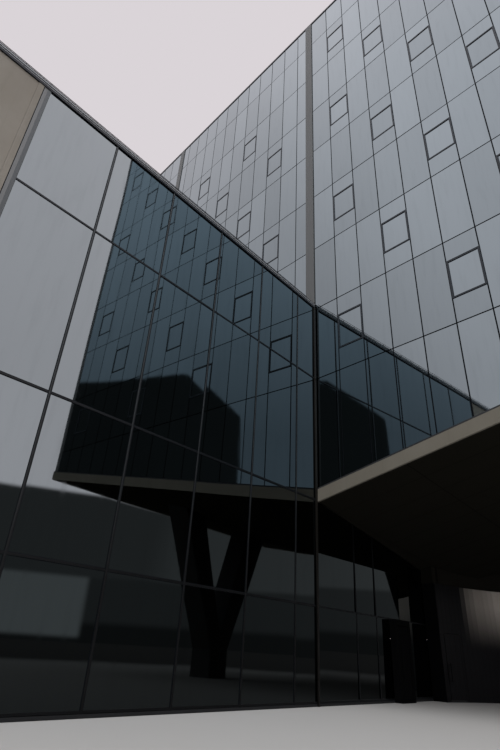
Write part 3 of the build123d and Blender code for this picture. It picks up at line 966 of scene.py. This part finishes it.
@dataclass
class Wing:
    """A long front of the wing, x 0 at the tower: large panes, gaskets and thin trims."""

    front: Front
    depth: float
    bay: float = 1.3
    bays: int = 5
    corner_bay: float = 0.715
    levels: tuple[float, ...] = (0.06, 1.542, 3.5, 6.305, 8.295)
    rail: float = 0.028
    cap: float = 0.03
    cap_proud: float = 0.01
    corner_joint: float = 0.036
    corner_seal: float = 0.004
    corner_edge: tuple[float, float, float] = (-0.012, 0.008, 0.01)
    gasket: float = 0.007
    rebate: float = 0.003
    joint: float = 0.008
    lean: float = 0.0022
    bulge: float = 0.0012
    grid: int = 6
    smooth: float = math.radians(20.0)
    thin: float = 0.0004
    west_end: float = 11.295
    coping_start: float = -0.03
    coping_back: float = -0.01
    coping_highlight_lines: tuple[tuple[float, float, float], ...] = ((8.341, 0.008, 0.028),
                                                            (8.391, 0.018, 0.021))
    strip_west: float = -7.3855
    strip_seam: float = -7.298
    seam: float = 0.012
    cover: tuple[float, float] = (-7.236, -7.184)
    strip_proud: float = 0.0105
    strip_back: float = -0.008
    layer: float = 0.001
    wire_end: float = 11.18
    wire_level: float = 8.6
    wire: float = 0.008
    wire_back: float = 0.09
    post_foot: float = 8.53
    post_pitch: float = 0.43
    post_shift: float = 0.007
    first_post: float = 0.75

    @property
    def stretch(self) -> float:
        """How much longer the north front's glass is, because the wing is skewed."""
        return self.depth * math.sin(SKEW) if self.front.mirrored else 0.0

    @property
    def columns(self) -> list[float]:
        """Where the glass ends and the mullions stand, from west to corner, 0 at the corner."""
        places = [0.0, -self.corner_bay]
        places += [-self.corner_bay - self.bay * step for step in range(1, self.bays + 1)]
        places[-1] -= self.stretch
        return places[::-1]

    def panes(self, rows: slice) -> list[Pane]:
        """The panes of some rows, each between its mullions and its rails.

        Args:
            rows: the rows, from 0 at the ground.

        Returns:
            The panes, column by column.
        """
        inset = self.rail / 2 - self.rebate
        return self.front.own([
            Pane(left, min(right, -self.corner_joint), foot + inset, head - inset)
            for left, right in zip(self.columns, self.columns[1:])
            for foot, head in list(zip(self.levels, self.levels[1:]))[rows]])

    def strip(self, shape: Shape, left: float, right: float, out: float = 0.004,
              deep: float = 0.006, foot: Optional[float] = None,
              head: Optional[float] = None) -> None:
        """One upright or level strip on the front.

        Args:
            shape: the mesh that it goes into.
            left: its side that is further from the corner, as a negative distance.
            right: its side that is nearer to the corner.
            out: how far it stands before the glass.
            deep: how far it goes in behind the glass's face.
            foot: its lowest height, or nothing for the glass's foot.
            head: its highest height, or nothing for the glass's head.
        """
        if self.front.mirrored:
            left, right = -right, -left
        shape.bar((left, -out, self.levels[0] if foot is None else foot),
                  (right, deep, self.levels[-1] if head is None else head))

    def gaskets(self) -> None:
        """The black seals beside each cap and along each rail."""
        shape = Shape()
        seal, seam = self.gasket, self.strip_seam - self.stretch
        self.strip(shape, -self.corner_joint - self.corner_seal, -self.layer)
        self.strip(shape, seam, seam + self.seam, self.strip_proud)
        for place in self.columns[1:-1]:
            for near in (place - self.cap / 2 - seal, place + self.cap / 2):
                self.strip(shape, near, near + seal)
        for level in self.levels[1:-1]:
            for low in (level - self.rail / 2 - seal, level + self.rail / 2):
                self.strip(shape, self.columns[0], -self.corner_joint, foot=low,
                           head=low + seal)
        shape.piece(f"{self.front.name}_gaskets", Finishes.SEAL, "dark_metal", front=self.front)

    def trims(self) -> None:
        """Painted highlights on the caps and coping, and thin trims on the corner and west edge.
        """
        caps, corner, lines, wall, cover = Shape(), Shape(), Shape(), Shape(), Shape()
        stretch, proud, back = self.stretch, self.strip_proud, self.strip_back
        # Painted highlight: a light strip along one side of each cap.
        for place in self.columns[1:-1]:
            self.strip(caps, place - self.cap / 2, place - self.layer,
                       self.cap_proud + 1.5 * self.layer, back / 2)
        # Painted highlight: two light strips on the coping's lips.
        for level, high, out in self.coping_highlight_lines:
            self.strip(lines, -self.west_end - stretch, self.coping_start, out,
                       self.coping_back, level, level + high)
        self.strip(wall, self.strip_west - stretch, self.strip_seam - stretch,
                   proud + self.layer, back)
        self.strip(cover, self.cover[0] - stretch, self.cover[1] - stretch,
                   proud + 2 * self.layer, back)
        self.strip(corner, -self.corner_joint, *self.corner_edge)
        for shape, part, finish, slot in (
                (caps, "cap_highlight_edges", Finishes.CAP_HIGHLIGHT, "dark_metal"),
                (lines, "coping_highlight_lines", Finishes.COPING_HIGHLIGHT, "dark_metal"),
                (corner, "corner_edge", Finishes.POST, "dark_metal"),
                (wall, "wall_return", Finishes.WALL, "pale_panel"),
                (cover, "edge_cover", Finishes.COVER, "dark_metal")):
            shape.ease(self.thin)
            shape.piece(f"{self.front.name}_{part}", finish, slot, front=self.front)

    def wire_rail(self) -> None:
        """A thin wire over the roof rail, on slim posts."""
        shape = Shape()
        low, high, half = self.wire_back, self.wire_back + self.wire, self.wire / 2
        top = self.wire_level + half
        shape.bar((-self.wire_end, low, top - self.wire), (-self.post_pitch / 2, high, top))
        for count in range(int(self.wire_end / self.post_pitch)):
            middle = self.post_shift - self.post_pitch * (count + self.first_post)
            shape.bar((middle - half, low, self.post_foot), (middle + half, high, top))
        shape.piece("wing_rail_wire", Finishes.FRAME, "dark_metal", front=self.front)

    def build(self) -> None:
        """Dress the front."""
        name = self.front.name
        glazing = Glazing(self.front, joint=self.joint, lean=self.lean, bulge=self.bulge,
                          grid=self.grid)
        glazing.build(self.panes(slice(1, 4))).piece(
            f"{name}_panes", Finishes.WING_GLASS, "wing_glass",
            stands_for=[f"{name}_glass"], smooth=self.smooth)
        glazing.build(self.panes(slice(0, 1))).piece(
            f"{name}_lobby_panes", Finishes.LOBBY_GLASS, "wing_glass", smooth=self.smooth)
        self.gaskets()
        self.trims()


@dataclass
class Core:
    """The curved core wall's upright metal sheets, with painted light that grows along the wall.
    """

    centre: tuple[float, float] = (3.682, -6.2997)
    radius: float = 6.35
    start: float = math.asin(0.764 / 6.35)
    sweep: float = math.radians(45.0)
    door_offset: float = 0.151
    door_width: float = 0.556
    door_top: float = 1.38
    head: float = 2.46
    sheet: float = 0.155
    joint: float = 0.002
    thickness: float = 0.006
    foot: float = 0.02
    first_gap: float = 0.0015
    head_gap: float = 0.004
    wall_turn: float = 0.003
    door_sheets: int = 3
    door_margin: float = 0.010
    door_foot: float = 0.05
    door_head_gap: float = 0.012
    door_turn: float = 0.002
    edge: float = 0.0008
    tone_spread: float = 0.02
    seed: int = 5

    @property
    def door_start(self) -> float:
        """The angle where the door begins."""
        return self.start + self.door_offset / self.radius

    @property
    def door_end(self) -> float:
        """The angle where the door ends."""
        return self.door_start + self.door_width / self.radius

    def build(self) -> None:
        """Lay sheets on the wall, and on the door's leaf as well."""
        draw = random.Random(self.seed)
        wall, door = Shape(), Shape()
        step = self.sheet / self.radius
        angle = self.start + self.first_gap
        while angle + step <= self.sweep + 1e-6:
            middle = angle + step / 2
            over_door = self.door_start - step / 2 < middle < self.door_end + step / 2
            bottom = self.door_top + self.head_gap if over_door else self.foot
            self.lay(wall, middle, step, bottom, self.head - self.head_gap, draw,
                     self.wall_turn)
            angle += step
        margin = self.door_margin / self.radius
        width = (self.door_end - self.door_start - 2 * margin) / self.door_sheets
        for sheet in range(self.door_sheets):
            middle = self.door_start + margin + (sheet + 0.5) * width
            self.lay(door, middle, width, self.door_foot, self.door_top - self.door_head_gap,
                     draw, self.door_turn)
        for shape, part, body in ((wall, "wall", BUILDING), (door, "door", "core_door")):
            shape.ease(self.edge)
            shape.piece(f"core_{part}_sheets", Finishes.CORE, "core_metal", body=body)

    def lay(self, shape: Shape, angle: float, step: float, foot: float, head: float,
            draw: random.Random, turn: float) -> None:
        """One sheet on the wall's face, with a small turn, its own tone and painted light.

        Args:
            shape: the mesh that it goes into.
            angle: where its middle is on the arc, in radians.
            step: how much of the arc it has, with its joint.
            foot: its lowest height.
            head: its highest height.
            draw: the source of its turn and tone.
            turn: the most that it turns, in radians.
        """
        half = step * self.radius / 2 - self.joint / 2
        place = (Matrix.Translation((*self.centre, 0.0)) @ Matrix.Rotation(-angle, 4, "Z")
                 @ Matrix.Translation((0.0, self.radius - self.thickness, 0.0))
                 @ Matrix.Rotation(draw.uniform(-turn, turn), 4, "Z"))
        verts = shape.bar((-half, 0.0, foot), (half, self.thickness, head))
        # Painted light: the tone grows from 0 to 1 along the arc, and the core finish lights the
        # far sheets by it; the draw adds each sheet's own small tone.
        share = (angle - self.start) / (self.sweep - self.start)
        shape.toned(verts, share + draw.uniform(-self.tone_spread, self.tone_spread))
        shape.move(place, verts)


@dataclass
class Forecourt:
    """The glass under the south overhang: panes that lean out between the CAD bars."""

    tower: Tower
    out_lean: float = math.radians(0.57)
    setback: float = 0.001
    rail: float = 0.011
    joint: float = 0.008
    lean: float = 0.0012
    soffit_gap: float = 0.008
    levels: tuple[float, float] = (0.06, 1.542)
    low_west: tuple[tuple[float, float], ...] = ((0.0, 1.31), (1.31, 2.1), (2.1, 2.65),
                                                 (3.25, 4.459))
    high_west: tuple[tuple[float, float], ...] = ((0.0, 1.31), (1.31, 2.1), (2.1, 4.459))
    east: tuple[tuple[float, float], ...] = ((8.367, 9.667), (9.667, 10.967),
                                             (10.967, 12.144))

    def build(self) -> None:
        """Lay the panes and finish the sheets under the north overhang."""
        front = Front("forecourt", (0.0, 0.0), WING_ALONG, 61)
        glazing = Glazing(front, joint=self.joint, lean=self.lean, back_lean=self.out_lean,
                          setback=self.setback)
        low, high = self.levels
        lower = [Pane(left, right, low + self.rail, high - self.rail)
                 for left, right in self.low_west + self.east]
        glazing.build(lower).piece("forecourt_low_panes", Finishes.LOBBY_GLASS, "wing_glass",
                                   stands_for=["forecourt_glass"])
        for name, spans in (("west", self.high_west), ("east", self.east)):
            upper = [Pane(left, right, high + self.rail, self.tower.edge_low)
                     for left, right in spans]
            glazing.build(upper, [self.under_soffit(spans[0][0], spans[-1][1])]).piece(
                f"forecourt_{name}_high_panes", Finishes.WING_GLASS, "wing_glass")
        dress("north_forecourt_glass", Finishes.LOBBY_GLASS)

    def under_soffit(self, start: float, end: float) -> tuple[Sequence[float], Sequence[float]]:
        """A plane just under the soffit over one stretch of the front.

        Args:
            start: where the stretch begins, from the wing's corner.
            end: where it ends.

        Returns:
            A point of the plane, and its normal.
        """
        low, high = self.tower.soffit(start), self.tower.soffit(end)
        slope = (high - low) / (end - start)
        return (start, 0.0, low - self.soffit_gap), (slope, 0.0, -1.0)


NODE_FINISHES: dict[Finishes, Sequence[str]] = {
    Finishes.FRAME: ("wing_south_frame", "wing_north_frame", "wing_roof_rail"),
    Finishes.POST: ("corner_posts",),
    Finishes.SHADED_LOBBY_FRAME: ("forecourt_frame", "north_forecourt_frame"),
    Finishes.PORTAL: ("entrance_jambs", "entrance_lintel", "entrance_sill", "entrance_door"),
    Finishes.WING_COPING: ("wing_coping",),
    Finishes.COPING: ("tower_coping", "south_fascia_trim", "north_fascia_trim"),
    Finishes.STRIP: ("wing_edge_strips",),
    Finishes.FIN: ("tower_fins",),
    Finishes.WALL: ("wing_south_wall", "wing_north_wall", "wing_west_wall"),
    Finishes.FASCIA: ("south_fascia", "north_fascia"),
    Finishes.SOFFIT: ("south_soffit", "north_soffit"),
    Finishes.BULKHEAD: ("core_bulkhead",),
    Finishes.COLUMN: ("south_columns", "north_columns"),
    Finishes.CORE: ("core_wall_west", "core_wall_over_door", "core_wall_middle",
                    "core_wall_bend", "core_wall_east", "core_return_wall", "core_door"),
    Finishes.CONCRETE: ("tower_floors", "wing_first_floor", "wing_second_floor"),
    Finishes.SLAB: ("ground_floor", "core_floor"),
    Finishes.ROOF: ("tower_roof", "wing_roof"),
}


def dress(node: str, finish: Finishes) -> None:
    """Give a CAD node its finish.

    Args:
        node: the node's name.
        finish: its finish.
    """
    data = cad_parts[node].data
    data.materials.clear()
    data.materials.append(finish.value.material())


@dataclass
class Studio:
    """The plain floor, the pale surround, the soft lamp and the camera."""

    surround: Colour = srgb(218, 212, 216)
    sky: Colour = (1.06, 1.0, 1.05)
    cool: Colour = (0.87, 1.0, 1.17)
    low: Colour = (0.95, 1.0, 1.02)
    floor_colour: Colour = (0.60, 0.59, 0.58)
    floor_in_gloss: float = 0.3
    floor_far: float = 0.25
    floor_open: float = 0.8
    floor_reach: float = 400.0
    ambient: float = 0.75
    lamp_power: float = 1.1
    lamp_angle: float = math.radians(50.0)
    lamp_from: tuple[float, float, float] = (-0.55, -0.45, 0.7)
    eye: tuple[float, float, float] = (-7.896, -6.429, 0.7363)
    right: tuple[float, float, float] = (0.71888, -0.69310, 0.05304)
    up: tuple[float, float, float] = (-0.37018, -0.31713, 0.87315)
    forward: tuple[float, float, float] = (0.58837, 0.64732, 0.48455)
    lens: float = 24.0
    sensor: float = 36.0

    def floor(self) -> None:
        """A plain pale floor; gloss sees it darker on the south-east side, with painted shade."""
        ground = bmesh.new()
        bmesh.ops.create_grid(ground, x_segments=1, y_segments=1, size=self.floor_reach)
        data = bpy.data.meshes.new("studio_floor")
        ground.to_mesh(data)
        ground.free()
        made = bpy.data.materials.new("studio_floor")
        bench = Bench(made)
        cloud = bench.noise(0.15, 2.0)
        glossy = bench.add("ShaderNodeLightPath", output="Is Glossy Ray")
        distance = bench.add("ShaderNodeVectorMath", {"operation": "LENGTH"}, {0: bench.point},
                             output="Value")
        # Painted shade that only gloss sees: dark near the building and darker beyond 20 m,
        # lighter to the west and north.
        in_gloss = self.floor_in_gloss * distance.spread(14.0, 20.0, 1.0, self.floor_far)
        west, north = bench.axis(0).spread(-9.0, -40.0), bench.axis(1).spread(1.0, 25.0)
        in_gloss = in_gloss + (self.floor_open - in_gloss) * west.most(north)
        level = (0.97 + 0.06 * cloud) * (1.0 - (1.0 - in_gloss) * glossy)
        shader = bench.add("ShaderNodeBsdfPrincipled", {}, {
            "Base Color": bench.times(self.floor_colour, level),
            "Roughness": 0.9, "Specular IOR Level": 0.0})
        bench.add("ShaderNodeOutputMaterial", {}, {"Surface": shader})
        data.materials.append(made)
        floor = link("studio_floor", data)
        floor.location.z = -0.002

    def world(self) -> None:
        """A surround that is plain to the camera and has the photo's broad tones to gloss."""
        world = bpy.data.worlds.new("studio")
        bench = Bench(world, "Generated")
        rays = {name: bench.add("ShaderNodeLightPath", output=name)
                for name in ("Is Camera Ray", "Is Glossy Ray", "Is Transmission Ray")}
        seen = rays["Is Camera Ray"].most(rays["Is Transmission Ray"])
        shown = bench.blend(seen, bench.times((1.0, 0.985, 0.99), self.ambient), self.surround)
        shown = bench.blend(rays["Is Glossy Ray"], shown, self.mirrored(bench))
        background = bench.add("ShaderNodeBackground", {}, {"Color": shown, "Strength": 1.0})
        bench.add("ShaderNodeOutputWorld", {}, {"Surface": background})
        bpy.context.scene.world = world

    def mirrored(self, bench: Bench) -> Signal:
        """What gloss sees: a sky that is brighter to the south, over a dark skyline.

        Args:
            bench: the world's tree, whose point is the direction.

        Returns:
            The colour.
        """
        east, north, height = (bench.axis(which) for which in range(3))
        plain = height.spread(0.45, 0.88, 0.87, 1.27, False) * (
            1.0 - 0.2 * north.spread(0.25, 0.50))
        south = height.spread(0.40, 0.76, 2.05, 2.30)
        west = (height.spread(0.38, 0.72, 1.15, 2.20, False)
                * east.spread(-0.45, -0.78, 1.08, 0.88))
        clear = bench.blend(east.spread(-0.1, 0.15), bench.times(self.cool, west),
                            bench.times(self.sky, south))
        sky = bench.blend(north.spread(-0.15, -0.40), bench.times(self.sky, plain), clear)
        share, tone = self.skyline(east, north, height)
        return bench.blend(share, sky, bench.times(self.low, tone))

    @staticmethod
    def skyline(east: Signal, north: Signal, height: Signal) -> tuple[Signal, Signal]:
        """The dark band near the ground, with a higher block to the south-west.

        Args:
            east: how far a direction points east.
            north: how far it points north.
            height: how far it points up.

        Returns:
            Its share, and its tone.
        """
        west = (0.0 - east).bearing(0.0 - north)
        slope = height / (1.0 - height * height) ** 0.5
        block = west.spread(0.40, 0.41) * west.spread(0.885, 0.875)
        roof = west.spread(0.52, 0.74, 0.47, 0.545, smooth=False).least(
            west.spread(0.755, 0.88, 0.545, 0.44, smooth=False))
        limit = west.spread(-1.17, -0.63, 0.154, 0.245, smooth=False)
        limit = limit - 0.03 * west.spread(-0.1, 0.1) + (roof - 0.215) * block
        side = west.spread(-0.620, -0.632)
        left = 0.035 + 0.285 * height.spread(0.002, 0.012)
        right = 0.030 + 0.045 * height.spread(0.022, 0.036)
        lower = left + (right - left) * side
        upper = 0.10 + 0.05 * east.spread(0.65, 0.70)
        tone = lower + (upper - lower) * height.spread(0.095, 0.105)
        return (slope - limit).spread(0.005, -0.005) * north.spread(-0.02, -0.12), tone

    def lamp(self) -> None:
        """One soft sun, so broad that its shadows have no edge."""
        data = bpy.data.lights.new("soft_sun", "SUN")
        data.energy = self.lamp_power
        data.angle = self.lamp_angle
        lamp = link("soft_sun", data)
        lamp.rotation_mode = "QUATERNION"
        lamp.rotation_quaternion = Vector(self.lamp_from).to_track_quat("Z", "Y")
        lamp.visible_glossy = False

    def camera(self) -> None:
        """The photograph's camera."""
        data = bpy.data.cameras.new("camera")
        data.sensor_fit = "AUTO"
        data.sensor_width = self.sensor
        data.lens = self.lens
        data.clip_start, data.clip_end = 0.05, 1000.0
        camera = link("camera", data)
        turn = Matrix((self.right, self.up, -Vector(self.forward))).transposed()
        camera.matrix_world = Matrix.Translation(Vector(self.eye)) @ turn.to_4x4()
        bpy.context.scene.camera = camera

    def build(self) -> None:
        """Set up the studio."""
        self.floor()
        self.world()
        self.lamp()
        self.camera()
        bpy.context.scene.view_settings.view_transform = "Standard"


def main() -> None:
    """Set up the studio, dress the CAD nodes and build every piece."""
    Studio().build()
    for finish, nodes in NODE_FINISHES.items():
        for node in nodes:
            dress(node, finish)
        log.info("%s: %d nodes", finish.value.name, len(nodes))
    tower = Tower()
    tower.build()
    depth, back = tower.wing_depth, (-WING_ALONG[0], -WING_ALONG[1])
    south = Wing(Front("wing_south", (0.0, 0.0), WING_ALONG, 41), depth)
    north = Wing(Front("wing_north", (0.0, depth), back, 42, mirrored=True), depth)
    south.build()
    north.build()
    south.wire_rail()
    Forecourt(tower).build()
    Core().build()


if __name__ == "__main__":
    main()
